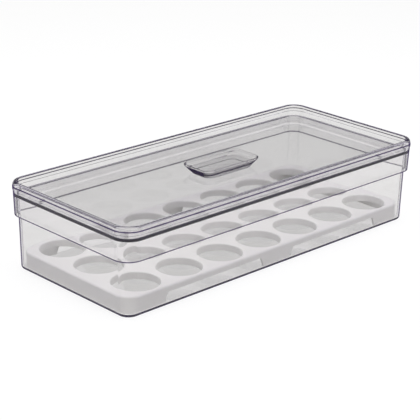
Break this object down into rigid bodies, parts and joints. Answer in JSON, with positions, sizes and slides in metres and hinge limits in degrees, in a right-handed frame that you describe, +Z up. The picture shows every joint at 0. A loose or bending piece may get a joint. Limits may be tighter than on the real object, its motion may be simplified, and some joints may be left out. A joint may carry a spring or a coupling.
{
  "type": "egg keeper with lift-off lid",
  "caption": "Clear plastic egg keeper: an open bin with a white tray of round egg cups and a clear lift-off lid with a raised rim and a flared hand grip.",
  "frame": {"origin": "centre of the bin's footprint, on the surface it stands on", "axes": "+X along the length, +Y across the width, +Z up"},
  "size_m": [0.376, 0.166, 0.0838],
  "materials": {
    "clear_plastic": "gloss",
    "white_plastic": "satin"
  },
  "bodies": {
    "bin_body": {"bin": "clear_plastic"},
    "tray_body": {"egg_tray": "white_plastic"},
    "lid_body": {"lid": "clear_plastic", "lid_grip": "clear_plastic"}
  },
  "joints": [
    {"name": "tray_lift", "type": "slide", "parent": "bin_body", "child": "tray_body", "axis": [0, 0, 1], "range_m": [0, 0.08]},
    {"name": "lid_lift", "type": "slide", "parent": "tray_body", "child": "lid_body", "axis": [0, 0, 1], "range_m": [0, 0.06]}
  ]
}
